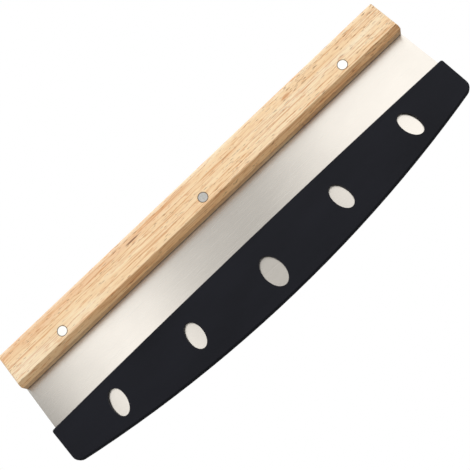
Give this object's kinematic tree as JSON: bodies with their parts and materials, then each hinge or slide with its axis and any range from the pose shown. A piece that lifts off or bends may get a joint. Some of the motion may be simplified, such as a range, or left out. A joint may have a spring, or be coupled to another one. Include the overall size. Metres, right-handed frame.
{
  "type": "rocking pizza knife",
  "caption": "Wide steel rocking knife with a convex edge, a full-length slotted wooden grip bar held by rivets, and a moulded slip-on blade cover with elliptical windows.",
  "frame": {"origin": "middle of the flat back face of the handle, which the knife lies on", "axes": "+X along the blade and the handle; +Y from the cutting edge towards the spine; +Z out of the face of the blade"},
  "size_m": [0.3524, 0.1045, 0.024],
  "materials": {
    "wood": "fine sanded and lightly oiled pale hardwood",
    "blade_steel": "satin",
    "rivet_steel": "polished flush",
    "cover_plastic": "fine matte, near black with a blue tint"
  },
  "bodies": {
    "knife": {"handle": "wood", "blade": "blade_steel", "rivet_pin_left": "rivet_steel", "rivet_pin_middle": "rivet_steel", "rivet_pin_right": "rivet_steel", "rivet_barrel_left": "rivet_steel", "rivet_barrel_middle": "rivet_steel", "rivet_barrel_right": "rivet_steel"},
    "cover": {"blade_cover": "cover_plastic"}
  },
  "joints": [
    {"name": "cover_slide", "type": "slide", "parent": "knife", "child": "cover", "axis": [0, -1, 0], "range_m": [0, 0.06]}
  ]
}
